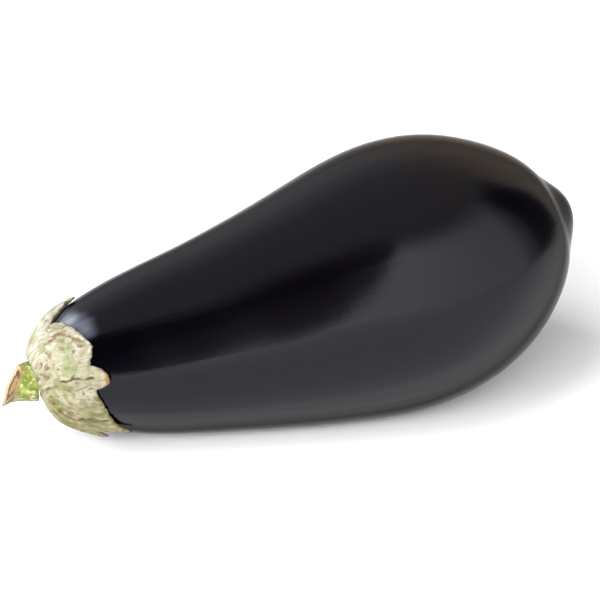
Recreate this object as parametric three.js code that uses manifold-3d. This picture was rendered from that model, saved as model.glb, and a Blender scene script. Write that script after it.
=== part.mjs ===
import * as THREE from "three";
import { mergeVertices } from "three/addons/utils/BufferGeometryUtils.js";
import Module from "manifold-3d";

// A fresh eggplant lying on its side: the fruit, the calyx that hugs its neck, and the short cut stem.
// Millimetres, +Z up. The stem points to -X and the blossom end to +X. The origin lies on the small
// flat spot that the fruit rests on, straight under its weight.

// The fruit's centre line is one gentle arc: level at the neck, rising at the blossom end.
const NECK_END = new THREE.Vector3(-111.5, 0, 31.3);
const ARC_HANDLE = new THREE.Vector3(-12, 0, 32.8);
const BLOSSOM_END = new THREE.Vector3(81, 0, 70.5);

// Half-widths of the ellipses that the outline follows, at equal steps of angle from neck to blossom end.
const FULLNESS = [56, 45.2, 38.4, 37.6, 43.4, 53, 58.4, 63.4, 73];

// The blossom end is drawn out to a blunt nub, set a little low on the end.
const NUB_HEIGHT = 5;
const NUB_TOP_RADIUS = 2;
const NUB_FOOT_RADIUS = 19;
const NUB_DROP = 3;

const FRUIT_RINGS = 50;
const FRUIT_SIDES = 56;
const RINGS_TO_BLOSSOM = 0.07; // how far the rings crowd towards the blossom end
const FLOOR_SIDE = 200; // the block that trims the flat spot
const FLOOR_DEPTH = 40;
const SPLINE_SWEEPS = 60;
const BISECTIONS = 40;
const NECK_SHARE = 0.4; // the outline only widens up to here
const MERGE_DISTANCE = 1e-4;

// Each lobe of the calyx: the angle of its tip round the neck in degrees (0 faces -Y, 90 is straight up),
// how far it reaches along the neck, and from where, how wide it spreads to either side, how blunt it is,
// and how far its edge stands off the skin.
const LOBES = [
  { tip: 113, foot: 6, reach: 17, over: 44, under: 20, blunt: 1, lift: 0.3 },
  { tip: 41, foot: 6, reach: 17.1, over: 52, under: 80, blunt: 1.1, lift: 0.5 },
  { tip: 12.5, foot: 15.7, reach: 20.8, over: 13, under: 9, blunt: 2.2, lift: 0.9 },
  { tip: -42, foot: 14.8, reach: 26.8, over: 56, under: 12, blunt: 0.5, lift: 0.6 },
  { tip: -62, foot: 6, reach: 20.5, over: 25, under: 52, blunt: 1.6, lift: 1.6 },
  { tip: -158, foot: 6, reach: 21, over: 42, under: 48, blunt: 1.1, lift: 1.2 },
];
const LEAST_REACH = 6;
const LEAST_LIFT = 0.2;
const CREST_POWER = 3; // how narrow the middle rib of a lobe is
const LIFT_POWER = 2.2; // the lobes lift off the skin mostly near their edge
const CALYX_GAP = 0.35; // clear of the skin
const COLLAR_THICK = 2.4;
const COLLAR_SLANT = 0.45; // the collar is this share thicker above the stem, and thinner below it
const SEPAL_THICK = 1.7;
const SEPAL_SLANT = 0.25; // and so are the sepals, to a lesser share
const EDGE_THICK = 0.8;
const SEPAL_RIB = 0.5; // a low rib runs down the middle of each lobe
const COLLAR_SHARE = 0.4; // how far down the lobes the thick collar fades out
const CALYX_SIDES = 120;
const CALYX_STEPS = 10;

// The stem: radii along its short curve, from the root inside the collar to the flared cut end.
const STEM_ROOT_DEPTH = 1.4; // from the fruit's pole out to the stem's foot
const STEM_DROP = 3.4; // the stem grows from a little below the neck's middle
const STEM_LENGTH = 17;
const STEM_RADII = [7.2, 7, 6.5, 5.8, 5.5, 5.7, 6.3, 7, 7.4];
const STEM_DROOP = 1.8;
const STEM_RIDGES = 5;
const STEM_RIDGE_HEIGHT = 0.45;
const STEM_RIDGE_TURN = 0.8;
const STEM_RIDGE_START = 0.1;
const STEM_RIDGE_FULL = 0.4;
const STEM_SIDES = 30;
const STEM_STEPS = 16;
const STEM_HOLE_GAP = 0.35;
const CUT_NORMAL = new THREE.Vector3(-0.88, 0.08, 0.47);
const CUT_CENTRE = new THREE.Vector3(-120.8, 0, 28);

const SKIN = new THREE.MeshStandardMaterial({ color: 0x17131c, roughness: 0.22, metalness: 0 });
const SEPAL = new THREE.MeshStandardMaterial({ color: 0xd9d3a4, roughness: 0.8, metalness: 0 });
const STALK = new THREE.MeshStandardMaterial({ color: 0xb7bf5e, roughness: 0.75, metalness: 0 });

const wasm = await Module();
wasm.setup();

const centreLine = new THREE.QuadraticBezierCurve3(NECK_END, ARC_HANDLE, BLOSSOM_END);
const sideways = new THREE.Vector3(0, -1, 0);
const smooth = THREE.MathUtils.smoothstep;

// Fills in a function from values at equal steps, as a clamped cubic spline: level at both ends.
function splineThrough(values) {
  const last = values.length - 1;
  const slopes = new Array(last + 1).fill(0);
  for (let sweep = 0; sweep < SPLINE_SWEEPS; sweep++) {
    for (let i = 1; i < last; i++) {
      slopes[i] = (3 * (values[i + 1] - values[i - 1]) - slopes[i - 1] - slopes[i + 1]) / 4;
    }
  }
  return (t) => {
    const i = Math.min(Math.floor(t * last), last - 1);
    const u = t * last - i;
    const rise = values[i + 1] - values[i];
    const bow = slopes[i] * (1 - u) - slopes[i + 1] * u + rise * (2 * u - 1);
    return values[i] + u * rise + u * (1 - u) * bow;
  };
}

const fullness = splineThrough(FULLNESS);

function radiusAt(t) {
  return Math.sin(Math.PI * t) * fullness(t);
}

// A point on the skin, or standing off it: t runs from neck (0) to blossom end (1), angle round the axis.
function skinPoint(t, angle, off = 0) {
  const along = (1 - Math.cos(Math.PI * t)) / 2;
  const radius = radiusAt(t);
  const centre = centreLine.getPoint(along);
  const tangent = centreLine.getTangent(along);
  const upward = new THREE.Vector3().crossVectors(sideways, tangent);
  const outward = sideways.clone().multiplyScalar(Math.cos(angle));
  outward.addScaledVector(upward, Math.sin(angle));
  const point = centre.addScaledVector(outward, radius);
  if (along > 0.5) {
    const fromNub = Math.hypot(radius * Math.cos(angle), radius * Math.sin(angle) + NUB_DROP);
    const share = 1 - smooth(fromNub, NUB_TOP_RADIUS, NUB_FOOT_RADIUS);
    point.addScaledVector(tangent, NUB_HEIGHT * share);
  }
  if (off) point.addScaledVector(skinNormal(t, outward, tangent), off);
  return point;
}

// The outward normal from the outline's slope, good enough near the neck where the axis hardly bends.
function skinNormal(t, outward, tangent) {
  const step = 1e-3;
  const a = Math.max(t - step, 0);
  const b = Math.min(t + step, 1);
  const alongAt = (u) => ((1 - Math.cos(Math.PI * u)) / 2) * centreLine.getLength();
  const dr = radiusAt(b) - radiusAt(a);
  const dx = alongAt(b) - alongAt(a);
  return outward.clone().multiplyScalar(dx).addScaledVector(tangent, -dr).normalize();
}

// A mesh from rows of points that all go round once. With ends it closes on two poles, without it is a
// ring that closes on itself.
function geometryOfRows(rows, firstPole, lastPole) {
  const sides = rows[0].length;
  const points = rows.flat();
  const index = [];
  const capped = Boolean(firstPole);
  const rowCount = rows.length;
  for (let i = 0; i < (capped ? rowCount - 1 : rowCount); i++) {
    for (let j = 0; j < sides; j++) {
      const here = i * sides + j;
      const beside = i * sides + ((j + 1) % sides);
      const next = ((i + 1) % rowCount) * sides + j;
      const across = ((i + 1) % rowCount) * sides + ((j + 1) % sides);
      index.push(here, next, across, here, across, beside);
    }
  }
  if (capped) {
    const first = points.push(firstPole) - 1;
    const last = points.push(lastPole) - 1;
    for (let j = 0; j < sides; j++) {
      const beside = (j + 1) % sides;
      index.push(first, j, beside);
      index.push(last, (rowCount - 1) * sides + beside, (rowCount - 1) * sides + j);
    }
  }
  return new THREE.BufferGeometry().setFromPoints(points).setIndex(index);
}

function solidOf(geometry) {
  const bare = geometry.clone();
  for (const name of Object.keys(bare.attributes)) {
    if (name !== "position") bare.deleteAttribute(name);
  }
  const merged = mergeVertices(bare, MERGE_DISTANCE);
  const mesh = new wasm.Mesh({
    numProp: 3,
    vertProperties: merged.attributes.position.array,
    triVerts: new Uint32Array(merged.index.array),
  });
  return new wasm.Manifold(mesh);
}

function geometryOf(solid) {
  const mesh = solid.getMesh();
  const geometry = new THREE.BufferGeometry();
  geometry.setAttribute("position", new THREE.BufferAttribute(mesh.vertProperties, 3));
  geometry.setIndex(new THREE.BufferAttribute(mesh.triVerts, 1));
  geometry.computeVertexNormals();
  return geometry;
}

// The fruit, with the skin that dips below the floor trimmed off to leave the small flat spot.
function fruitGeometry() {
  const rows = [];
  for (let i = 1; i < FRUIT_RINGS; i++) {
    const u = i / FRUIT_RINGS;
    const t = u + RINGS_TO_BLOSSOM * Math.sin(Math.PI * u);
    const row = [];
    for (let j = 0; j < FRUIT_SIDES; j++) row.push(skinPoint(t, (2 * Math.PI * j) / FRUIT_SIDES));
    rows.push(row);
  }
  const whole = solidOf(geometryOfRows(rows, skinPoint(0, 0), skinPoint(1, 0)));
  const floor = new THREE.BoxGeometry(FLOOR_SIDE, FLOOR_SIDE, FLOOR_DEPTH).translate(0, 0, -FLOOR_DEPTH / 2);
  return geometryOf(whole.subtract(solidOf(floor)));
}

// At an angle round the neck: how far the calyx reaches, how far its edge lifts, and how near the
// middle rib of a lobe is.
function calyxEdge(angle) {
  const degrees = THREE.MathUtils.radToDeg(angle);
  let reach = LEAST_REACH;
  let lift = LEAST_LIFT;
  let crest = 0;
  for (const lobe of LOBES) {
    const turn = THREE.MathUtils.euclideanModulo(degrees - lobe.tip + 180, 360) - 180;
    const spread = turn > 0 ? lobe.over : lobe.under;
    if (Math.abs(turn) >= spread) continue;
    const share = 1 - (Math.abs(turn) / spread) ** lobe.blunt;
    reach = Math.max(reach, THREE.MathUtils.lerp(lobe.foot, lobe.reach, share));
    lift = Math.max(lift, lobe.lift * share);
    crest = Math.max(crest, share ** CREST_POWER);
  }
  return { reach, lift, crest };
}

// The t at which the outline is a given distance along the neck from the fruit's pole.
function tAtDistance(distance) {
  return Math.acos(1 - (2 * distance) / centreLine.getLength()) / Math.PI;
}

// The t at which the outline near the neck has a given radius.
function tAtRadius(radius) {
  let low = 0;
  let high = NECK_SHARE;
  for (let i = 0; i < BISECTIONS; i++) {
    const mid = (low + high) / 2;
    if (radiusAt(mid) < radius) low = mid;
    else high = mid;
  }
  return low;
}

// The calyx: a thin cup over the neck with a hole for the stem, its rim cut into lobes.
function calyxGeometry() {
  const holeRadius = STEM_RADII[0] + STEM_RIDGE_HEIGHT + STEM_HOLE_GAP;
  const tHole = tAtRadius(holeRadius);
  const outer = [];
  const inner = [];
  for (let i = 0; i <= CALYX_STEPS; i++) {
    const w = i / CALYX_STEPS;
    const outerRow = [];
    const innerRow = [];
    for (let j = 0; j < CALYX_SIDES; j++) {
      const angle = (2 * Math.PI * j) / CALYX_SIDES;
      const { reach, lift, crest } = calyxEdge(angle);
      const radius = radiusAt(THREE.MathUtils.lerp(tHole, tAtDistance(reach), w));
      const across = radius * Math.cos(angle);
      const above = radius * Math.sin(angle) - STEM_DROP * (1 - smooth(w, 0, COLLAR_SHARE));
      const t = tAtRadius(Math.hypot(across, above));
      const turned = Math.atan2(above, across);
      const raised = CALYX_GAP + lift * w ** LIFT_POWER;
      const collar = COLLAR_THICK * (1 + COLLAR_SLANT * Math.sin(angle));
      const sepal = SEPAL_THICK * (1 + SEPAL_SLANT * Math.sin(angle));
      const leaf = THREE.MathUtils.lerp(sepal, EDGE_THICK, smooth(w, COLLAR_SHARE, 1));
      const thick = THREE.MathUtils.lerp(collar, leaf, smooth(w, 0, COLLAR_SHARE));
      const rib = SEPAL_RIB * crest * Math.sin(Math.PI * w);
      innerRow.push(skinPoint(t, turned, raised));
      outerRow.push(skinPoint(t, turned, raised + thick + rib));
    }
    outer.push(outerRow);
    inner.push(innerRow);
  }
  return geometryOfRows([...outer, ...inner.reverse()]);
}

// The stem: a ridged stub that flares to its slanted cut.
function stemGeometry() {
  const radius = splineThrough(STEM_RADII);
  const foot = NECK_END.clone().add(new THREE.Vector3(-STEM_ROOT_DEPTH, 0, -STEM_DROP));
  const end = foot.clone().add(new THREE.Vector3(-STEM_LENGTH, 0, -STEM_DROOP));
  const bend = foot.clone().lerp(end, 0.5).setZ(foot.z);
  const line = new THREE.QuadraticBezierCurve3(foot, bend, end);
  const rows = [];
  for (let i = 0; i <= STEM_STEPS; i++) {
    const u = i / STEM_STEPS;
    const centre = line.getPoint(u);
    const tangent = line.getTangent(u);
    const upward = new THREE.Vector3().crossVectors(tangent, sideways).normalize();
    const row = [];
    for (let j = 0; j < STEM_SIDES; j++) {
      const angle = (2 * Math.PI * j) / STEM_SIDES;
      const ridge = STEM_RIDGE_HEIGHT * Math.cos(STEM_RIDGES * angle + STEM_RIDGE_TURN);
      const r = radius(u) + ridge * smooth(u, STEM_RIDGE_START, STEM_RIDGE_FULL);
      const point = centre.clone();
      point.addScaledVector(sideways, r * Math.cos(angle));
      point.addScaledVector(upward, r * Math.sin(angle));
      row.push(point);
    }
    rows.push(row);
  }
  const whole = solidOf(geometryOfRows(rows.reverse(), end, foot));
  const inward = CUT_NORMAL.clone().normalize().negate();
  return geometryOf(whole.trimByPlane(inward.toArray(), inward.dot(CUT_CENTRE)));
}

function piece(name, geometry, material) {
  const mesh = new THREE.Mesh(geometry, material);
  mesh.name = name;
  return mesh;
}

const group = new THREE.Group();
group.add(piece("fruit", fruitGeometry(), SKIN));
group.add(piece("calyx", calyxGeometry(), SEPAL));
group.add(piece("stem", stemGeometry(), STALK));

export default group;
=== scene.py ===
"""Looks for the whole eggplant: glossy near-black skin, pale dry calyx and a short cut stalk."""

import json
import math

import bpy
import numpy as np
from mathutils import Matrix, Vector, noise

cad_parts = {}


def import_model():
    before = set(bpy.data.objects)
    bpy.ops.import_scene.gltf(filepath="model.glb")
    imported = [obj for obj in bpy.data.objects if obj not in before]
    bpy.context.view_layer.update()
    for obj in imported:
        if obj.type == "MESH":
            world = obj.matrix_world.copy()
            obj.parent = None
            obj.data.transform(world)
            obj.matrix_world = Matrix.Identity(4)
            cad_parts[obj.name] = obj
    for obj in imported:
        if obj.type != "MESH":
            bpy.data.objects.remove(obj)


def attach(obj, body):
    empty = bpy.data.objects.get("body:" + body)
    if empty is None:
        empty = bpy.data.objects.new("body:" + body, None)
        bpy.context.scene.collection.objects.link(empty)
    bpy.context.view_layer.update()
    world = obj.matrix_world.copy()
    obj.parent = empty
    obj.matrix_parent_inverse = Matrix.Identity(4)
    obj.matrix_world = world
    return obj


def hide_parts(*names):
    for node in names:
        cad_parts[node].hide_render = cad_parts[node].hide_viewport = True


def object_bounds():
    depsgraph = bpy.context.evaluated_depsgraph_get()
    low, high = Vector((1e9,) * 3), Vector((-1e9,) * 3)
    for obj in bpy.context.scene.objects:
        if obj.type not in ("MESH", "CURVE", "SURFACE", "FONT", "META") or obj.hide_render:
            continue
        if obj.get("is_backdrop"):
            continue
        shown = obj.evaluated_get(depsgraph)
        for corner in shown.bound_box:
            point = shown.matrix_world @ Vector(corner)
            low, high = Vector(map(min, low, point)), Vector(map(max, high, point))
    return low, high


MM = 0.001
NOISE_SPAN = (0.3, 0.7)  # nearly all values of a noise texture lie in here

# The bent centre line and the fullness along it, in millimetres, as in the solid model.
NECK_END = np.array([-111.5, 0.0, 31.3])
ARC_HANDLE = np.array([-12.0, 0.0, 32.8])
BLOSSOM_END = np.array([81.0, 0.0, 70.5])
FULLNESS = (56, 45.2, 38.4, 37.6, 43.4, 53, 58.4, 63.4, 73)
NUB_HEIGHT = 5
NUB_TOP_RADIUS = 2
NUB_FOOT_RADIUS = 19
NUB_DROP = 3
SPLINE_SWEEPS = 60
HALVINGS = 40
NECK_SHARE = 0.4  # the skin only widens from the neck end up to here

# Fine mesh of the fruit.
FRUIT_RINGS = 260
FRUIT_SIDES = 300
RINGS_TO_BLOSSOM = 0.07
NEAR_POLE = 1e-4
UNEVEN_DEPTH = 0.22
UNEVEN_SIZE = 26
FURROW_DEPTH = 0.1
FURROW_COUNT = 2.4  # bumps of the noise for each radian round the fruit
FURROW_BREAKS = 1.5  # and from end to end
NECK_FURROW_DEPTH = 0.1
NECK_FURROW_COUNT = 8
NECK_FURROW_BREAKS = 3
NECK_FURROW_FADE = (0.2, 0.5)
SKIN_TONE = (0.0006, 0.0004, 0.0011)
SKIN_IOR = 1.37
SKIN_GLOSS_TINT = (0.95, 0.91, 1.0, 1)
EDGE_ON = (0.38, 0.7)  # how edge-on the skin is seen where its gloss starts and ends to fall
GLOSS_LEVELS = (0.5, 0.035)
SCAR_RADIUS = 2.6
SCAR_RIM = (-0.5, 0.4)
SCAR_COLOUR = (120, 92, 62)

# The skin is paler along a short line beside the calyx, and palest at one spot of it.
PALE_FROM = np.array([-104.0, 7.5, 48.5])
PALE_TO = np.array([-96.8, -10.0, 50.7])
PALE_WIDTH = 6.5
PALE_COLOUR = (70, 73, 83)
PALE_SPOT = np.array([-100.8, -3.5, 50.4])
PALE_SPOT_FADE = (0.5, 5.5)
PALEST_COLOUR = (106, 112, 122)

# Lobes of the calyx: angle of the tip (0 faces the camera side, 90 points straight up), least
# reach beside it, reach of the tip, half widths on both sides, bluntness and how far the tip lifts.
LOBES = (
    dict(tip=113, foot=6, reach=17, over=44, under=20, blunt=1, lift=0.3),
    dict(tip=41, foot=6, reach=17.1, over=52, under=80, blunt=1.1, lift=0.5),
    dict(tip=12.5, foot=15.7, reach=20.8, over=13, under=9, blunt=2.2, lift=0.9),
    dict(tip=-42, foot=14.8, reach=26.8, over=56, under=12, blunt=0.5, lift=0.6),
    dict(tip=-62, foot=6, reach=20.5, over=25, under=52, blunt=1.6, lift=1.6),
    dict(tip=-158, foot=6, reach=21, over=42, under=48, blunt=1.1, lift=1.2),
)
LEAST_REACH = 6
LEAST_LIFT = 0.2
LIFT_POWER = 2.2
CREST_POWER = 3
CALYX_GAP = 0.35
COLLAR_THICK = 2.4
COLLAR_SLANT = 0.45
SEPAL_THICK = 1.7
SEPAL_SLANT = 0.25
EDGE_THICK = 0.8
SEPAL_RIB = 0.5
COLLAR_SHARE = 0.4
CALYX_SIDES = 900
CALYX_STEPS = 64
CALYX_INNER_STEPS = 14
EDGE_WAVE = 0.35
NICK_WAVE = 0.6  # height of the nicks, as a share of the broader waves
EDGE_ROUNDING = (0.955, 1.0)
EDGE_THINNING = 0.75
VEIN_DEPTH = 0.14
CRUMPLE_DEPTH = 0.42
WRINKLE_DEPTH = 0.28
FINE_WRINKLE_DEPTH = 0.14
RELIEF_START = 0.08
MARK_WANDER = 0.9  # how far a mark strays from its line, in millimetres
MARK_EDGE = (0.1, 1.3)  # where a mark starts and ends to fade, in its half widths
MARK_RAGGED = 1.1
MARK_BREAKS = (-0.6, -0.05)

# Marks on the calyx, partly brown scars and partly painted shade along creases and folds: a line
# through places given as angle in degrees and share from hole to edge, its half width and depth in
# millimetres, its colour and how strong that is.
CALYX_SCARS_AND_CREASE_SHADE = (
    dict(line=((61, 0.41), (65, 0.66), (59.5, 0.8), (51.5, 0.86), (44.5, 0.9)),
         width=0.75, depth=0.35, colour=(114, 83, 53), strength=0.8),
    dict(line=((13, 0.42), (14.5, 0.66), (14, 0.82)),
         width=0.5, depth=0.3, colour=(71, 51, 29), strength=0.85),
    dict(line=((-37, 0.42), (-35.5, 0.56), (-31, 0.73), (-28.5, 0.92)),
         width=0.5, depth=0.4, colour=(82, 60, 32), strength=0.85),
    dict(line=((-42, 0.22), (-35, 0.33), (-26.5, 0.54)),
         width=1.1, depth=0.25, colour=(117, 92, 56), strength=0.7),
    dict(line=((20, 0.24), (26, 0.22), (34, 0.26)),
         width=0.7, depth=0.2, colour=(100, 78, 48), strength=0.6),
    dict(line=((10, 0.2), (-4, 0.26), (-20, 0.24)),
         width=0.6, depth=0.25, colour=(119, 99, 63), strength=0.6),
    dict(line=((72, 0.3), (50, 0.34), (30, 0.4), (8, 0.36)),
         width=0.6, depth=0.35, colour=(141, 129, 88), strength=0.5),
)
MARK_SCALE = 15.5  # millimetres for one radian round the neck, and from the hole to the edge

# Colours of the sepals, as they look on a screen.
IVORY = (164, 161, 129)
CREAM = (183, 182, 160)
STRAW = (146, 138, 98)
VEIN_GREEN = (118, 122, 70)
SEPAL_GREEN = (126, 138, 74)
# Painted shade: a brown darkening laid into the hollows of the relief, where shade falls.
PAINTED_HOLLOW_SHADE = (98, 84, 48)
# Painted highlight: a pale cream laid onto the crests of the relief, where light catches.
PAINTED_CREST_HIGHLIGHT = (196, 195, 176)
FLECK_BROWN = (116, 98, 60)
SPOT_BROWN = (74, 54, 30)
EDGE_BROWN = (116, 88, 54)
# Darkened tips at the calyx's edge: the one at 104 is painted shade along the dark gap under that
# lobe's lifted edge.
BROWN_AND_SHADED_TIPS = (
    dict(tip=13, spread=7, colour=(150, 114, 60)),
    dict(tip=104, spread=20, colour=(60, 42, 26)),
)
PAINTED_LIGHT_HEIGHTS = (20, 50)  # painted light and shade: the sepals are made lighter above and darker and browner below
PAINTED_SHADE_BELOW = (0.74, 0.69, 0.52)
PAINTED_LIGHT_ABOVE = (1.25, 1.25, 1.5)
WEATHERING = 0.18  # how much darker the outer parts of the sepals are
WEATHER_FADE = (0.35, 0.8)

# Stalk.
STEM_ROOT_DEPTH = 1.4
STEM_DROP = 3.4
STEM_LENGTH = 17
STEM_RADII = (7.2, 7, 6.5, 5.8, 5.5, 5.7, 6.3, 7, 7.4)
STEM_DROOP = 1.8
STEM_RIDGES = 5
STEM_RIDGE_HEIGHT = 0.45
STEM_RIDGE_TURN = 0.8
STEM_RIDGE_START = (0.1, 0.4)
STEM_BUMP_HEIGHT = 0.28
STEM_GRAIN_HEIGHT = 0.12
STEM_HOLE_GAP = 0.35
STEM_SIDES = 240
STEM_STEPS = 90
CUT_STEPS = 40
CUT_NORMAL = np.array([-0.88, 0.08, 0.47])
CUT_CENTRE = np.array([-120.8, 0.0, 28.0])
CUT_DISH = 0.5  # the cut sinks this much inside its rim
CUT_DISH_RIM = (0.06, 0.3)
CUT_ROUGH = 0.25

# Colours of the stalk, as they look on a screen.
BARK_GREEN = (94, 107, 31)
BARK_YELLOW = (134, 140, 70)
BARK_SPECK = (168, 168, 126)
DRY_BARK = (122, 106, 72)
RIM_BROWN = (128, 92, 50)
CUT_TAN = (164, 152, 116)
CUT_RING = (84, 58, 34)
PITH_TAN = (142, 116, 76)

# Camera, as fitted to the photo.
VIEW_AZIMUTH = -17.2
VIEW_ELEVATION = 25
VIEW_DISTANCE = 700
VIEW_TARGET = (-17.4, 0, 50.6)
LENS = 117.72
SENSOR = 36
SHIFT_X = 3 / 600
SHIFT_Y = -12.6 / 600
CLIP = (0.05, 50)  # metres

# Light round the table, as azimuth and elevation in degrees, 0 towards the front.
CARD_DISTANCE = 1.6  # metres
CARD_COLUMNS = 36
CARD_ROWS = 16
WINDOW_AZIMUTHS = (-16, 76)
WINDOW_ELEVATIONS = (-2, 62)
WINDOW_GLOW = (2.6, 1.2)  # at its left and right edges
WINDOW_TOP_FADE = 24
WINDOW_RIGHT_FADE = 10
WINDOW_EDGE_GLOW = 0.8  # as a share of the ceiling's
LEFT_DARK_AZIMUTHS = (-80, -16)
LEFT_DARK_ELEVATIONS = (9, 62)
LEFT_DARK_GLOW = (0.02, 0.13)
LEFT_DARK_GLOW_START = -44
LEFT_DARK_FADE = 14
RIGHT_DARK_AZIMUTHS = (76, 110)
RIGHT_DARK_ELEVATIONS = (2, 62)
RIGHT_DARK_GLOW = 0.04
RIGHT_DARK_CORE = 0.6  # the share of its width that is darkest
RIGHT_DARK_FADE = 20
CEILING_ELEVATIONS = (62, 89.9)
CEILING_GLOW = 0.56
COOL_TINT = np.array([1.05, 1.07, 1.16])
WARM_TINT = np.array([1.1, 0.9, 0.74])
WARM_AZIMUTH = 10  # the tint turns from cool to warm near here
WARM_SIDES = (-0.1, 0.6)
BACK_AZIMUTHS = (110, 280)
BACK_ELEVATIONS = (0, 62)
BACK_GLOW_GAIN = 1.6
ROOM_LIGHT = (0.2, 0.2, 0.205, 1)
FLOOR_REACH = 5  # metres from the middle to each side
FLOOR_COLOUR = (0.86, 0.86, 0.87, 1)
FLOOR_GLOW = 0.05

# Lamps: direction, distance and size in metres, and brightness. Only matt surfaces show them.
LAMPS = (
    dict(name="front_fill", azimuth=-34, elevation=30, distance=2.8,
         width=2.6, height=0.8, brightness=17),
    dict(name="key", azimuth=-64, elevation=51, distance=3.6,
         width=2, height=2, brightness=7.9),
)

SIDEWAYS = np.array([0.0, -1.0, 0.0])


def smooth(value, low, high):
    share = np.clip((value - low) / (high - low), 0, 1)
    return share * share * (3 - 2 * share)


def lerp(low, high, share):
    return low + (high - low) * share


def unit(vectors):
    return vectors / np.linalg.norm(vectors, axis=-1, keepdims=True)


def spline_slopes(values):
    slopes = [0.0] * len(values)
    for _ in range(SPLINE_SWEEPS):
        for i in range(1, len(values) - 1):
            slopes[i] = (3 * (values[i + 1] - values[i - 1]) - slopes[i - 1] - slopes[i + 1]) / 4
    return slopes


def spline(values, share):
    """A smooth curve through evenly spaced values, level at both ends."""
    points = np.array(values, dtype=float)
    slopes = np.array(spline_slopes(values))
    place = np.clip(share, 0, 1) * (len(values) - 1)
    i = np.minimum(place.astype(int), len(values) - 2)
    u = place - i
    rise = points[i + 1] - points[i]
    bow = slopes[i] * (1 - u) - slopes[i + 1] * u + rise * (2 * u - 1)
    return points[i] + u * rise + u * (1 - u) * bow


def radius_at(t):
    return np.sin(np.pi * t) * spline(FULLNESS, t)


def bare_point(t, angle):
    """A point of the smooth skin, the outward direction of its ring and the line's tangent."""
    along = ((1 - np.cos(np.pi * t)) / 2)[..., None]
    before = 1 - along
    centre = before**2 * NECK_END + 2 * along * before * ARC_HANDLE + along**2 * BLOSSOM_END
    tangent = unit(before * (ARC_HANDLE - NECK_END) + along * (BLOSSOM_END - ARC_HANDLE))
    upward = np.cross(np.broadcast_to(SIDEWAYS, tangent.shape), tangent)
    outward = SIDEWAYS * np.cos(angle)[..., None] + upward * np.sin(angle)[..., None]
    radius = radius_at(t)
    from_nub = np.hypot(radius * np.cos(angle), radius * np.sin(angle) + NUB_DROP)
    nub = NUB_HEIGHT * (1 - smooth(from_nub, NUB_TOP_RADIUS, NUB_FOOT_RADIUS))
    nub = np.where(along[..., 0] > 0.5, nub, 0)
    return centre + outward * radius[..., None] + tangent * nub[..., None], outward, tangent


def line_length():
    along = np.linspace(0, 1, 200)[:, None]
    before = 1 - along
    line = before**2 * NECK_END + 2 * along * before * ARC_HANDLE + along**2 * BLOSSOM_END
    return np.linalg.norm(np.diff(line, axis=0), axis=-1).sum()


LINE_LENGTH = line_length()


def skin_point(t, angle, off=0.0):
    """A point at a distance off the skin, measured along its normal."""
    step = 1e-3
    low = np.clip(t - step, 0, 1)
    high = np.clip(t + step, 0, 1)
    gain = radius_at(high) - radius_at(low)
    run = LINE_LENGTH * (np.cos(np.pi * low) - np.cos(np.pi * high)) / 2
    point, outward, tangent = bare_point(t, angle)
    normal = unit(outward * run[..., None] - tangent * gain[..., None])
    return point + normal * np.broadcast_to(off, t.shape)[..., None]


def noise_at(points, size, seed):
    """Soft noise between about -1 and 1 at each point, with bumps about the given size."""
    flat = (points / size).reshape(-1, 3) + seed * 17.3
    values = [noise.noise(Vector(p)) for p in flat.tolist()]
    return np.array(values).reshape(points.shape[:-1])


def ring_noise(angle, w, around, along, seed):
    """Noise without a seam round the fruit, with around bumps a radian and along bumps for each w."""
    place = np.stack([np.cos(angle) * around, np.sin(angle) * around, w * along], axis=-1)
    return noise_at(place, 1, seed)


def ridges(value, sharpness):
    """Turns a noise into narrow ridges, along the lines where it is 0."""
    return 1 - np.abs(value) * sharpness


def srgb(red, green, blue):
    """A colour given as it looks on a screen, 0 to 255, as linear light."""
    share = np.array([red, green, blue]) / 255
    return np.where(share <= 0.04045, share / 12.92, ((share + 0.055) / 1.055) ** 2.4)


def mix(first, second, share):
    return first + (second - first) * np.clip(share, 0, 1)[..., None]


# Mesh helpers.


def add_piece(name, points, faces):
    mesh = bpy.data.meshes.new(name)
    mesh.from_pydata(points, [], faces)
    piece = bpy.data.objects.new(name, mesh)
    bpy.context.scene.collection.objects.link(piece)
    return piece


def paint(piece, tone):
    """Write a colour at each point of a piece, for its material to read."""
    colours = np.concatenate([tone, np.ones((len(tone), 1))], axis=1)
    layer = piece.data.color_attributes.new("tone", "FLOAT_COLOR", "POINT")
    layer.data.foreach_set("color", colours.ravel())


def mesh_piece(name, points, faces, tone, grain=None):
    """A smooth piece with its colours and, where given, places for a grain that follows its form."""
    piece = add_piece(name, (points * MM).tolist(), faces)
    mesh = piece.data
    mesh.polygons.foreach_set("use_smooth", [True] * len(mesh.polygons))
    paint(piece, tone)
    if grain is not None:
        layer = mesh.attributes.new("grain", "FLOAT_VECTOR", "POINT")
        layer.data.foreach_set("vector", grain.ravel())
    return piece


def band_faces(rows, sides, close_rows=False):
    """Quads of a grid whose rows are closed rings."""
    faces = []
    last = rows if close_rows else rows - 1
    for i in range(last):
        below = i * sides
        above = ((i + 1) % rows) * sides
        for j in range(sides):
            k = (j + 1) % sides
            faces.append((below + j, below + k, above + k, above + j))
    return faces


def cap_faces(first, sides, pole, turned):
    faces = []
    for j in range(sides):
        k = (j + 1) % sides
        faces.append((first + k, first + j, pole) if turned else (first + j, first + k, pole))
    return faces


# Fruit.


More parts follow.
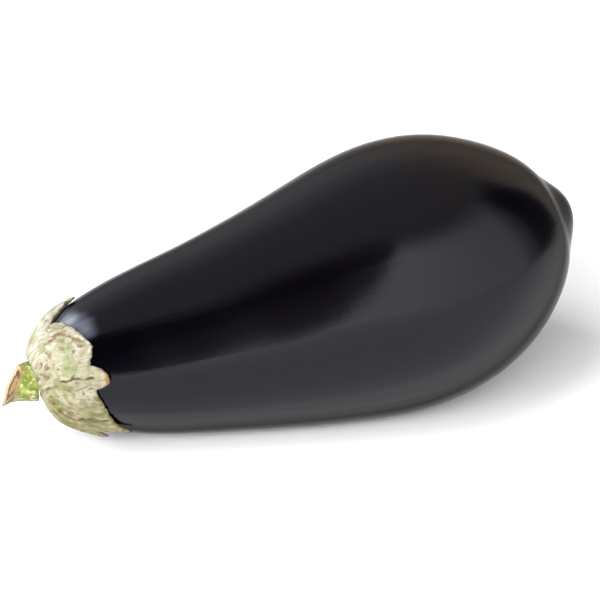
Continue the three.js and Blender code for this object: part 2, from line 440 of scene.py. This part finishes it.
def make_fruit():
    share = np.arange(1, FRUIT_RINGS) / FRUIT_RINGS
    t = share + RINGS_TO_BLOSSOM * np.sin(np.pi * share)
    angle = np.arange(FRUIT_SIDES) / FRUIT_SIDES * 2 * np.pi
    t_grid, angle_grid = np.meshgrid(t, angle, indexing="ij")
    smooth_skin = skin_point(t_grid, angle_grid)
    uneven = UNEVEN_DEPTH * noise_at(smooth_skin, size=UNEVEN_SIZE, seed=1)
    furrow = ring_noise(angle_grid, t_grid, FURROW_COUNT, FURROW_BREAKS, seed=2)
    furrow = FURROW_DEPTH * furrow * np.sin(np.pi * t_grid)
    neck_furrow = ring_noise(angle_grid, t_grid, NECK_FURROW_COUNT, NECK_FURROW_BREAKS, seed=6)
    neck_furrow = NECK_FURROW_DEPTH * neck_furrow * (1 - smooth(t_grid, *NECK_FURROW_FADE))
    points = skin_point(t_grid, angle_grid, uneven + furrow + neck_furrow)
    neck_pole, _, _ = bare_point(np.array([NEAR_POLE]), np.array([0.0]))
    blossom_pole, _, _ = bare_point(np.array([1 - NEAR_POLE]), np.array([0.0]))
    blossom_pole[0] = points[-1].mean(axis=0)
    every = np.concatenate([points.reshape(-1, 3), neck_pole, blossom_pole])
    every[:, 2] = np.maximum(every[:, 2], 0)
    rows = len(t)
    faces = band_faces(rows, FRUIT_SIDES)
    faces += cap_faces(0, FRUIT_SIDES, rows * FRUIT_SIDES, True)
    faces += cap_faces((rows - 1) * FRUIT_SIDES, FRUIT_SIDES, rows * FRUIT_SIDES + 1, False)
    along = (1 - np.cos(np.pi * t_grid)) / 2
    grain = np.stack([np.cos(angle_grid), np.sin(angle_grid), along], axis=-1).reshape(-1, 3)
    grain = np.concatenate([grain, [[0, 0, 0]], [[0, 0, 1]]])
    tone = fruit_tone(every)
    return mesh_piece("eggplant_fruit", every, faces, tone, grain)


def fruit_tone(points):
    """Near-black skin, paler beside the calyx, with a brown corky scar where the flower was."""
    skin = np.broadcast_to(np.array(SKIN_TONE), points.shape)
    step = PALE_TO - PALE_FROM
    part = np.clip((points - PALE_FROM) @ step / (step @ step), 0, 1)
    gap = np.linalg.norm(points - PALE_FROM - part[:, None] * step, axis=-1)
    gap = gap + 1.5 * noise_at(points, size=4, seed=4)
    skin = mix(skin, srgb(*PALE_COLOUR), 1 - smooth(gap, 0, PALE_WIDTH))
    spot = np.linalg.norm(points - PALE_SPOT, axis=-1) + 0.8 * noise_at(points, size=3, seed=5)
    skin = mix(skin, srgb(*PALEST_COLOUR), 1 - smooth(spot, *PALE_SPOT_FADE))
    nub_tip, _, tangent = bare_point(np.array([1 - NEAR_POLE]), np.array([0.0]))
    upward = np.cross(SIDEWAYS, tangent[0])
    centre = nub_tip[0] - upward * NUB_DROP
    distance = np.linalg.norm(points - centre, axis=-1)
    ragged = distance + 0.7 * noise_at(points, size=1.6, seed=3)
    past_scar = smooth(ragged - SCAR_RADIUS, *SCAR_RIM)
    return mix(skin, srgb(*SCAR_COLOUR), 1 - past_scar)


# Calyx.


def calyx_edge(angle):
    """Reach, lift and crest of the calyx at angles round the neck."""
    degrees = np.degrees(angle)
    reach = np.full(angle.shape, float(LEAST_REACH))
    lift = np.full(angle.shape, LEAST_LIFT)
    crest = np.zeros(angle.shape)
    for lobe in LOBES:
        turn = (degrees - lobe["tip"] + 180) % 360 - 180
        spread = np.where(turn > 0, lobe["over"], lobe["under"])
        share = np.clip(1 - (np.abs(turn) / spread) ** lobe["blunt"], 0, 1)
        inside = np.abs(turn) < spread
        reach = np.where(inside, np.maximum(reach, lerp(lobe["foot"], lobe["reach"], share)), reach)
        lift = np.where(inside, np.maximum(lift, lobe["lift"] * share), lift)
        crest = np.where(inside, np.maximum(crest, share**CREST_POWER), crest)
    return reach, lift, crest


def t_at_distance(distance):
    return np.arccos(np.clip(1 - 2 * distance / LINE_LENGTH, -1, 1)) / np.pi


def t_at_radius(radius):
    """The place on the neck where the skin has a given radius, found by halving."""
    low = np.zeros(radius.shape)
    high = np.full(radius.shape, NECK_SHARE)
    for _ in range(HALVINGS):
        middle = (low + high) / 2
        short = radius_at(middle) < radius
        low = np.where(short, middle, low)
        high = np.where(short, high, middle)
    return (low + high) / 2


def calyx_sheet(w, angle, reach, lift, crest):
    """Place on the skin, stand-off and thickness of the calyx, w running from hole to edge."""
    hole = STEM_RADII[0] + STEM_RIDGE_HEIGHT + STEM_HOLE_GAP
    t_hole = t_at_radius(np.array(hole))
    radius = radius_at(lerp(t_hole, t_at_distance(reach), w))
    across = radius * np.cos(angle)
    above = radius * np.sin(angle) - STEM_DROP * (1 - smooth(w, 0, COLLAR_SHARE))
    t = t_at_radius(np.hypot(across, above))
    turned = np.arctan2(above, across)
    raised = CALYX_GAP + lift * w**LIFT_POWER
    collar = COLLAR_THICK * (1 + COLLAR_SLANT * np.sin(angle))
    sepal = SEPAL_THICK * (1 + SEPAL_SLANT * np.sin(angle))
    leaf = lerp(sepal, EDGE_THICK, smooth(w, COLLAR_SHARE, 1))
    thick = lerp(collar, leaf, smooth(w, 0, COLLAR_SHARE)) + SEPAL_RIB * crest * np.sin(np.pi * w)
    return t, turned, raised, thick


def mark_share(mark, angle, w):
    """How near each place of the calyx is to a mark: 1 on its line, 0 past its width."""
    degrees = (np.degrees(angle) + 180) % 360 - 180
    sideways = MARK_WANDER * ring_noise(angle, w, around=7, along=7, seed=19)
    lengthways = MARK_WANDER * ring_noise(angle, w, around=7, along=7, seed=20)
    across = np.radians(degrees) * MARK_SCALE + sideways
    along = w * MARK_SCALE + lengthways
    nearest = np.full(angle.shape, np.inf)
    for (a1, w1), (a2, w2) in zip(mark["line"], mark["line"][1:]):
        start = np.array([math.radians(a1) * MARK_SCALE, w1 * MARK_SCALE])
        step = np.array([math.radians(a2) * MARK_SCALE, w2 * MARK_SCALE]) - start
        part = ((across - start[0]) * step[0] + (along - start[1]) * step[1]) / (step @ step)
        part = np.clip(part, 0, 1)
        gap = np.hypot(across - start[0] - part * step[0], along - start[1] - part * step[1])
        nearest = np.minimum(nearest, gap)
    ragged = nearest / mark["width"] + MARK_RAGGED * ring_noise(angle, w, around=16, along=14, seed=16)
    broken = smooth(ring_noise(angle, w, around=11, along=9, seed=15), *MARK_BREAKS)
    return broken * (1 - smooth(ragged, *MARK_EDGE))


def calyx_relief(angle, w):
    """Veins, wrinkles and creases of the sepals, as a height in millimetres."""
    vein = ridges(ring_noise(angle, w, around=7, along=0.8, seed=11), 3)
    fine_vein = ridges(ring_noise(angle, w, around=15, along=1.2, seed=12), 3)
    crumple = ring_noise(angle, w, around=3.4, along=3.2, seed=13)
    wrinkle = ridges(ring_noise(angle, w, around=8, along=7, seed=17), 3.4)
    fine_wrinkle = ring_noise(angle, w, around=20, along=17, seed=18)
    relief = VEIN_DEPTH * (vein * 0.7 + fine_vein * 0.5)
    relief = relief + CRUMPLE_DEPTH * crumple + WRINKLE_DEPTH * wrinkle
    relief = relief + FINE_WRINKLE_DEPTH * fine_wrinkle
    for mark in CALYX_SCARS_AND_CREASE_SHADE:
        relief = relief - mark["depth"] * mark_share(mark, angle, w)
    return relief


def edge_wave(angle):
    """Waves and nicks of the calyx's edge."""
    level = np.zeros(angle.shape)
    broad = ring_noise(angle, level, around=9, along=1, seed=14)
    narrow = ring_noise(angle, level, around=26, along=1, seed=15)
    nicks = ring_noise(angle, level, around=60, along=1, seed=10)
    return broad + narrow + NICK_WAVE * nicks


def make_calyx():
    w = np.arange(CALYX_STEPS + 1) / CALYX_STEPS
    angle = np.arange(CALYX_SIDES) / CALYX_SIDES * 2 * np.pi
    w_grid, angle_grid = np.meshgrid(w, angle, indexing="ij")
    reach, lift, crest = calyx_edge(angle)
    reach = reach + EDGE_WAVE * edge_wave(angle)
    t, turned, raised, thick = calyx_sheet(w_grid, angle_grid, reach, lift, crest)
    relief_bare = calyx_relief(angle_grid, w_grid)
    relief = relief_bare * smooth(w_grid, 0, RELIEF_START)
    rim = np.sqrt(1 - EDGE_THINNING * smooth(w_grid, *EDGE_ROUNDING) ** 2)
    outer = skin_point(t, turned, raised + (thick + relief) * rim)
    rows_inner = np.linspace(1, 0, CALYX_INNER_STEPS)
    w_in, angle_in = np.meshgrid(rows_inner, angle, indexing="ij")
    t_in, turned_in, raised_in, _ = calyx_sheet(w_in, angle_in, reach, lift, crest)
    inner = skin_point(t_in, turned_in, raised_in)
    points = np.concatenate([outer, inner]).reshape(-1, 3)
    rows = len(w) + len(rows_inner)
    faces = band_faces(rows, CALYX_SIDES, close_rows=True)
    w_all = np.concatenate([w_grid, w_in]).reshape(-1)
    angle_all = np.concatenate([angle_grid, angle_in]).reshape(-1)
    height_all = np.concatenate([relief_bare, w_in * 0]).reshape(-1)
    grain = np.stack([np.cos(angle_all) * 9, np.sin(angle_all) * 9, w_all * 6], axis=-1)
    tone = calyx_tone(points, angle_all, w_all, height_all)
    return mesh_piece("eggplant_calyx", points, faces, tone, grain)


def calyx_tone(points, angle, w, height):
    """Ivory sepals, greener towards the stalk, with brown edges, spots and scars; painted shade in the
    hollows, creases and under one lobe's edge, painted highlights on the crests, and painted light and
    shade that make them lighter above and darker below.
    """
    tone = np.broadcast_to(srgb(*IVORY), points.shape)
    tone = mix(tone, srgb(*CREAM), smooth(noise_at(points, size=4.5, seed=21), 0, 0.4))
    tone = mix(tone, srgb(*STRAW), 0.8 * smooth(noise_at(points, size=2.6, seed=26), 0.05, 0.4))
    vein = smooth(ridges(ring_noise(angle, w, around=11, along=0.9, seed=22), 9), 0, 1)
    tone = mix(tone, srgb(*VEIN_GREEN), 0.5 * vein * smooth(w, 0.2, 0.45))
    green = smooth(noise_at(points, size=6, seed=23), -0.05, 0.35) * (1 - smooth(w, 0.6, 0.95))
    tone = mix(tone, srgb(*SEPAL_GREEN), 0.6 * green)
    # Painted shade: the hollows of the relief are darkened.
    tone = mix(tone, srgb(*PAINTED_HOLLOW_SHADE), 0.6 * smooth(-height, 0.1, 0.5))
    # Painted highlight: the crests of the relief are lightened.
    tone = mix(tone, srgb(*PAINTED_CREST_HIGHLIGHT), 0.7 * smooth(height, 0.15, 0.5))
    fleck = smooth(noise_at(points, size=0.9, seed=27), 0.2, 0.45)
    tone = mix(tone, srgb(*FLECK_BROWN), 0.3 * fleck)
    spots = smooth(noise_at(points, size=1.7, seed=25), 0.46, 0.6)
    tone = mix(tone, srgb(*SPOT_BROWN), 0.7 * spots)
    ragged = w + 0.05 * noise_at(points, size=1.5, seed=24)
    tone = mix(tone, srgb(*EDGE_BROWN), 0.6 * smooth(ragged, 0.97, 1.0))
    # Darkened tips at the edge, one of them painted shade under a lifted lobe.
    for tip in BROWN_AND_SHADED_TIPS:
        turn = np.abs((np.degrees(angle) - tip["tip"] + 180) % 360 - 180)
        near = (1 - smooth(turn, tip["spread"] * 0.5, tip["spread"])) * smooth(ragged, 0.94, 0.98)
        tone = mix(tone, srgb(*tip["colour"]), 0.9 * near)
    # Brown scars, and painted shade along the creases and folds.
    for mark in CALYX_SCARS_AND_CREASE_SHADE:
        tone = mix(tone, srgb(*mark["colour"]), mark["strength"] * mark_share(mark, angle, w))
    # Painted light and shade: lighter towards the top, darker and browner towards the bottom.
    lit_above = smooth(points[:, 2:3], *PAINTED_LIGHT_HEIGHTS)
    weathered = 1 - WEATHERING * smooth(w[:, None], *WEATHER_FADE)
    return tone * weathered * lerp(np.array(PAINTED_SHADE_BELOW), np.array(PAINTED_LIGHT_ABOVE), lit_above)


# Stalk.


def stem_line(u):
    foot = NECK_END + np.array([-STEM_ROOT_DEPTH, 0, -STEM_DROP])
    end = foot + np.array([-STEM_LENGTH, 0, -STEM_DROOP])
    bend = (foot + end) / 2
    bend[2] = foot[2]
    u = u[..., None]
    centre = (1 - u) ** 2 * foot + 2 * u * (1 - u) * bend + u**2 * end
    tangent = unit((1 - u) * (bend - foot) + u * (end - bend))
    return centre, tangent


def stem_side(u, angle):
    centre, tangent = stem_line(u)
    upward = unit(np.cross(tangent, np.broadcast_to(SIDEWAYS, tangent.shape)))
    ridge = STEM_RIDGE_HEIGHT * np.cos(STEM_RIDGES * angle + STEM_RIDGE_TURN)
    radius = spline(STEM_RADII, u) + ridge * smooth(u, *STEM_RIDGE_START)
    outward = SIDEWAYS * np.cos(angle)[..., None] + upward * np.sin(angle)[..., None]
    return centre + outward * radius[..., None], outward


def cut_height(points):
    """Distance in front of the slanted cut, negative inside the stalk."""
    return (points - CUT_CENTRE) @ unit(CUT_NORMAL)


def u_at_cut(angle):
    """Where the slanted cut meets the stalk's side at each angle, found by halving."""
    low = np.zeros(angle.shape)
    high = np.ones(angle.shape)
    for _ in range(HALVINGS):
        middle = (low + high) / 2
        inside = cut_height(stem_side(middle, angle)[0]) < 0
        low = np.where(inside, middle, low)
        high = np.where(inside, high, middle)
    return low


def make_stem():
    angle = np.arange(STEM_SIDES) / STEM_SIDES * 2 * np.pi
    last = u_at_cut(angle)
    share = np.arange(STEM_STEPS + 1) / STEM_STEPS
    share_grid, angle_grid = np.meshgrid(share, angle, indexing="ij")
    u = share_grid * last
    side, outward = stem_side(u, angle_grid)
    bumps = STEM_BUMP_HEIGHT * ring_noise(angle_grid, u, around=5, along=3, seed=31)
    bumps = bumps + STEM_GRAIN_HEIGHT * noise_at(side, size=0.9, seed=32)
    side = side + outward * (bumps * smooth(share_grid, 0, 0.1))[..., None]
    middle = side[-1].mean(axis=0)
    inward = 1 - np.arange(1, CUT_STEPS) / CUT_STEPS
    cut = middle + (side[-1] - middle) * inward[:, None, None]
    outwards = unit(CUT_NORMAL)
    from_rim = 1 - inward[:, None] + 0 * angle
    rough = CUT_ROUGH * noise_at(cut, size=1.4, seed=33) * smooth(from_rim, 0, 0.1)
    dish = rough - CUT_DISH * smooth(from_rim, *CUT_DISH_RIM)
    cut = cut + outwards * dish[..., None]
    root, _ = stem_line(np.array([0.0]))
    pith = middle - outwards * CUT_DISH
    points = np.concatenate([side.reshape(-1, 3), cut.reshape(-1, 3), root, [pith]])
    rows = len(share) + len(inward)
    faces = [face[::-1] for face in band_faces(rows, STEM_SIDES)]
    faces += cap_faces(0, STEM_SIDES, rows * STEM_SIDES, False)
    faces += cap_faces((rows - 1) * STEM_SIDES, STEM_SIDES, rows * STEM_SIDES + 1, True)
    rim_share = np.concatenate([np.zeros(share_grid.size), from_rim.ravel(), [0, 1]])
    along = np.concatenate([share_grid.ravel(), np.ones(from_rim.size), [0, 1]])
    tone = stem_tone(points, along, rim_share)
    return mesh_piece("eggplant_stem", points, faces, tone)


def stem_tone(points, along, from_rim):
    """Yellow-green bark, pale specks and a tan end; the cut has a brown ring and a dry pith."""
    tone = np.broadcast_to(srgb(*BARK_GREEN), points.shape)
    tone = mix(tone, srgb(*BARK_YELLOW), smooth(noise_at(points, size=3.2, seed=41), -0.1, 0.5))
    tone = mix(tone, srgb(*BARK_SPECK), 0.8 * smooth(noise_at(points, size=1.4, seed=42), 0, 0.5))
    dry = smooth(along + 0.12 * noise_at(points, size=2, seed=44), 0.66, 0.88)
    tone = mix(tone, srgb(*DRY_BARK), 0.9 * dry)
    rim = smooth(along, 0.97, 0.995) * (1 - smooth(from_rim, 0, 0.04))
    tone = mix(tone, srgb(*RIM_BROWN), rim)
    ragged = from_rim + 0.05 * noise_at(points, size=1.3, seed=43)
    tone = mix(tone, srgb(*CUT_TAN), smooth(from_rim, 0.02, 0.08))
    tone = mix(tone, srgb(*CUT_RING), smooth(ragged, 0.2, 0.28))
    tone = mix(tone, srgb(*PITH_TAN), smooth(ragged, 0.5, 0.62))
    return tone


# Materials.


def new_material(name):
    material = bpy.data.materials.new(name)
    material.use_nodes = True
    return material, material.node_tree.nodes, material.node_tree.links


def attribute_node(nodes, name):
    node = nodes.new("ShaderNodeAttribute")
    node.attribute_name = name
    return node


def noise_node(nodes, links, vector, scale, detail):
    node = nodes.new("ShaderNodeTexNoise")
    node.inputs["Scale"].default_value = scale
    node.inputs["Detail"].default_value = detail
    links.new(vector, node.inputs["Vector"])
    return node.outputs["Fac"]


def stretched(nodes, links, vector, scale):
    node = nodes.new("ShaderNodeMapping")
    node.inputs["Scale"].default_value = scale
    links.new(vector, node.inputs["Vector"])
    return node.outputs["Vector"]


def map_range(nodes, links, value, low, high):
    """Spread the usual span of a noise over low to high."""
    node = nodes.new("ShaderNodeMapRange")
    node.inputs["From Min"].default_value = NOISE_SPAN[0]
    node.inputs["From Max"].default_value = NOISE_SPAN[1]
    node.inputs["To Min"].default_value = low
    node.inputs["To Max"].default_value = high
    links.new(value, node.inputs["Value"])
    return node.outputs["Result"]


def bump(nodes, links, height, distance, strength, normal=None):
    node = nodes.new("ShaderNodeBump")
    node.inputs["Distance"].default_value = distance
    node.inputs["Strength"].default_value = strength
    links.new(height, node.inputs["Height"])
    if normal is not None:
        links.new(normal, node.inputs["Normal"])
    return node.outputs["Normal"]


def mottled_tone(nodes, links, pattern, low, high):
    """The mesh's own colour, darker and lighter with a noise."""
    node = nodes.new("ShaderNodeVectorMath")
    node.operation = "SCALE"
    links.new(attribute_node(nodes, "tone").outputs["Color"], node.inputs[0])
    links.new(map_range(nodes, links, pattern, low, high), node.inputs["Scale"])
    return node.outputs["Vector"]


def dull_at_edge(nodes, links):
    """The waxy bloom takes some of the mirror gloss away where the skin is seen edge-on."""
    facing = nodes.new("ShaderNodeLayerWeight")
    facing.inputs["Blend"].default_value = 0.5
    level = nodes.new("ShaderNodeMapRange")
    level.interpolation_type = "SMOOTHSTEP"
    level.inputs["From Min"].default_value = EDGE_ON[0]
    level.inputs["From Max"].default_value = EDGE_ON[1]
    level.inputs["To Min"].default_value = GLOSS_LEVELS[0]
    level.inputs["To Max"].default_value = GLOSS_LEVELS[1]
    links.new(facing.outputs["Facing"], level.inputs["Value"])
    return level.outputs["Result"]


def skin_material():
    material, nodes, links = new_material("eggplant_skin")
    shader = nodes["Principled BSDF"]
    grain = attribute_node(nodes, "grain").outputs["Vector"]
    place = nodes.new("ShaderNodeTexCoord").outputs["Object"]
    along = stretched(nodes, links, grain, (9, 9, 1.6))
    streak = noise_node(nodes, links, along, scale=1, detail=4)
    speck = noise_node(nodes, links, place, scale=900, detail=3)
    blotch = noise_node(nodes, links, place, scale=45, detail=3)
    colour = mottled_tone(nodes, links, streak, low=0.7, high=1.4)
    roughness = map_range(nodes, links, blotch, low=0.14, high=0.2)
    fine = bump(nodes, links, speck, distance=0.00003, strength=0.4)
    normal = bump(nodes, links, streak, distance=0.0003, strength=0.35, normal=fine)
    links.new(colour, shader.inputs["Base Color"])
    links.new(roughness, shader.inputs["Roughness"])
    links.new(dull_at_edge(nodes, links), shader.inputs["Specular IOR Level"])
    links.new(normal, shader.inputs["Normal"])
    shader.inputs["IOR"].default_value = SKIN_IOR
    shader.inputs["Specular Tint"].default_value = SKIN_GLOSS_TINT
    return material


def sepal_material():
    material, nodes, links = new_material("eggplant_sepal")
    shader = nodes["Principled BSDF"]
    grain = attribute_node(nodes, "grain").outputs["Vector"]
    place = nodes.new("ShaderNodeTexCoord").outputs["Object"]
    along = stretched(nodes, links, grain, (2.2, 2.2, 0.5))
    fibre = noise_node(nodes, links, along, scale=1.4, detail=5)
    fleck = noise_node(nodes, links, place, scale=1400, detail=4)
    colour = mottled_tone(nodes, links, fleck, low=0.66, high=0.84)
    roughness = map_range(nodes, links, fibre, low=0.6, high=0.85)
    fine = bump(nodes, links, fleck, distance=0.0003, strength=0.5)
    normal = bump(nodes, links, fibre, distance=0.0006, strength=0.6, normal=fine)
    links.new(colour, shader.inputs["Base Color"])
    links.new(roughness, shader.inputs["Roughness"])
    links.new(normal, shader.inputs["Normal"])
    return material


def stalk_material():
    material, nodes, links = new_material("eggplant_stalk")
    shader = nodes["Principled BSDF"]
    place = nodes.new("ShaderNodeTexCoord").outputs["Object"]
    along = stretched(nodes, links, place, (0.4, 1, 1))
    fibre = noise_node(nodes, links, along, scale=1100, detail=4)
    fleck = noise_node(nodes, links, place, scale=1500, detail=3)
    colour = mottled_tone(nodes, links, fibre, low=0.82, high=1.08)
    roughness = map_range(nodes, links, fleck, low=0.55, high=0.8)
    normal = bump(nodes, links, fibre, distance=0.0004, strength=0.6)
    links.new(colour, shader.inputs["Base Color"])
    links.new(roughness, shader.inputs["Roughness"])
    links.new(normal, shader.inputs["Normal"])
    return material


# Stage, light and camera.


def floor_material():
    material, nodes, links = new_material("stage_floor")
    shader = nodes["Principled BSDF"]
    shader.inputs["Base Color"].default_value = FLOOR_COLOUR
    shader.inputs["Roughness"].default_value = 0.9
    shader.inputs["Specular IOR Level"].default_value = 0.1
    shader.inputs["Emission Color"].default_value = (1, 1, 1, 1)
    shader.inputs["Emission Strength"].default_value = FLOOR_GLOW
    return material


def card_material():
    material, nodes, links = new_material("stage_card")
    nodes.remove(nodes["Principled BSDF"])
    glow = nodes.new("ShaderNodeEmission")
    links.new(attribute_node(nodes, "tone").outputs["Color"], glow.inputs["Color"])
    links.new(glow.outputs["Emission"], nodes["Material Output"].inputs["Surface"])
    return material


def direction(azimuth, elevation):
    """The way out from the table, with azimuth 0 towards the front and 90 towards +X."""
    a = math.radians(azimuth)
    e = math.radians(elevation)
    return Vector((math.sin(a) * math.cos(e), -math.cos(a) * math.cos(e), math.sin(e)))


def make_floor():
    side = FLOOR_REACH
    corners = [(-side, -side, 0), (side, -side, 0), (side, side, 0), (-side, side, 0)]
    floor = add_piece("stage_floor", corners, [(0, 1, 2, 3)])
    floor.data.materials.append(floor_material())
    floor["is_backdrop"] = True


def make_card(name, azimuths, elevations, material, glow):
    """A curved card round the table, which shows in the gloss of the skin alone."""
    columns = np.linspace(*azimuths, CARD_COLUMNS + 1)
    rows = np.linspace(*elevations, CARD_ROWS + 1)
    azimuth, elevation = (grid.ravel() for grid in np.meshgrid(columns, rows))
    points = [direction(a, e) * CARD_DISTANCE for a, e in zip(azimuth, elevation)]
    faces = []
    for i in range(CARD_ROWS):
        for j in range(CARD_COLUMNS):
            k = i * (CARD_COLUMNS + 1) + j
            faces.append((k, k + 1, k + CARD_COLUMNS + 2, k + CARD_COLUMNS + 1))
    card = add_piece(name, points, faces)
    paint(card, glow(azimuth, elevation))
    card.data.materials.append(material)
    card.visible_camera = False
    card.visible_shadow = False
    card.visible_diffuse = False
    card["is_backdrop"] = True


def grey(strength):
    return np.stack([strength] * 3, axis=1)


def end_fade(value, span, fade):
    """Rises from 0 to 1 over the last part of a span."""
    return smooth(value, span[1] - fade, span[1])


def window_glow(azimuth, elevation):
    """Brightest at its left edge, and soft along its top and right edges."""
    left, right = WINDOW_AZIMUTHS
    strength = lerp(*WINDOW_GLOW, (azimuth - left) / (right - left))
    below_top = 1 - end_fade(elevation, WINDOW_ELEVATIONS, WINDOW_TOP_FADE)
    short_of_right = 1 - end_fade(azimuth, WINDOW_AZIMUTHS, WINDOW_RIGHT_FADE)
    return grey(lerp(CEILING_GLOW * WINDOW_EDGE_GLOW, strength, below_top * short_of_right))


def left_dark_glow(azimuth, elevation):
    """The dark side of the room, which fades into the ceiling."""
    nearness = smooth(azimuth, LEFT_DARK_GLOW_START, LEFT_DARK_AZIMUTHS[1])
    top = end_fade(elevation, LEFT_DARK_ELEVATIONS, LEFT_DARK_FADE)
    return grey(lerp(lerp(*LEFT_DARK_GLOW, nearness), CEILING_GLOW, top))


def right_dark_glow(azimuth, elevation):
    """A dark strip with soft sides, which fades into the ceiling."""
    left, right = RIGHT_DARK_AZIMUTHS
    half = (right - left) / 2
    side = smooth(np.abs(azimuth - left - half), half * RIGHT_DARK_CORE, half)
    top = end_fade(elevation, RIGHT_DARK_ELEVATIONS, RIGHT_DARK_FADE)
    return grey(lerp(RIGHT_DARK_GLOW, CEILING_GLOW, np.maximum(side, top)))


def ceiling_glow(azimuth, elevation):
    """Cooler light on the left and warmer on the right."""
    side = np.sin(np.radians(azimuth - WARM_AZIMUTH)) * np.cos(np.radians(elevation))
    warm = smooth(side, *WARM_SIDES)
    return CEILING_GLOW * lerp(COOL_TINT, WARM_TINT, warm[:, None])


def back_glow(azimuth, elevation):
    """The back of the room is brightest low down, where the rim of the fruit reflects it."""
    low = 1 - smooth(elevation, *BACK_ELEVATIONS)
    return ceiling_glow(azimuth, elevation) * lerp(1, BACK_GLOW_GAIN, low)[:, None]


def soft_light(name, azimuth, elevation, distance, width, height, brightness):
    light = bpy.data.lights.new(name, "AREA")
    light.shape = "RECTANGLE"
    light.size = width
    light.size_y = height
    light.energy = 4 * brightness * width * height
    lamp = bpy.data.objects.new(name, light)
    lamp.location = direction(azimuth, elevation) * distance
    lamp.rotation_euler = (-lamp.location).to_track_quat("-Z", "Y").to_euler()
    lamp.visible_camera = False
    lamp.visible_glossy = False
    bpy.context.scene.collection.objects.link(lamp)


def make_world():
    world = bpy.data.worlds.new("studio")
    world.use_nodes = True
    world.node_tree.nodes["Background"].inputs["Color"].default_value = ROOM_LIGHT
    world.node_tree.nodes["Background"].inputs["Strength"].default_value = 1
    bpy.context.scene.world = world


def make_lights():
    for lamp in LAMPS:
        soft_light(**lamp)
    material = card_material()
    make_card("stage_window", WINDOW_AZIMUTHS, WINDOW_ELEVATIONS, material, window_glow)
    make_card("stage_left_dark", LEFT_DARK_AZIMUTHS, LEFT_DARK_ELEVATIONS, material, left_dark_glow)
    make_card("stage_right_dark", RIGHT_DARK_AZIMUTHS, RIGHT_DARK_ELEVATIONS, material, right_dark_glow)
    make_card("stage_ceiling", (-180, 180), CEILING_ELEVATIONS, material, ceiling_glow)
    make_card("stage_back", BACK_AZIMUTHS, BACK_ELEVATIONS, material, back_glow)


def make_camera():
    camera = bpy.data.cameras.new("camera")
    camera.lens = LENS
    camera.sensor_width = SENSOR
    camera.shift_x = SHIFT_X
    camera.shift_y = SHIFT_Y
    camera.clip_start, camera.clip_end = CLIP
    eye = bpy.data.objects.new("camera", camera)
    back = direction(VIEW_AZIMUTH, VIEW_ELEVATION)
    target = Vector(VIEW_TARGET) * MM
    eye.location = target + back * VIEW_DISTANCE * MM
    eye.rotation_euler = (-back).to_track_quat("-Z", "Y").to_euler()
    bpy.context.scene.collection.objects.link(eye)
    bpy.context.scene.camera = eye


def dress(piece, node, material):
    piece.data.materials.append(material)
    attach(piece, "root")
    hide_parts(node)


def plain_bounds():
    return json.loads(json.dumps(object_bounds(), default=list))


def main():
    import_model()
    cad = plain_bounds()
    dress(make_fruit(), "fruit", skin_material())
    dress(make_calyx(), "calyx", sepal_material())
    dress(make_stem(), "stem", stalk_material())
    make_floor()
    make_world()
    make_lights()
    make_camera()
    bpy.context.scene.view_settings.view_transform = "Standard"
    {"cad": cad, "looks": plain_bounds()}


main()
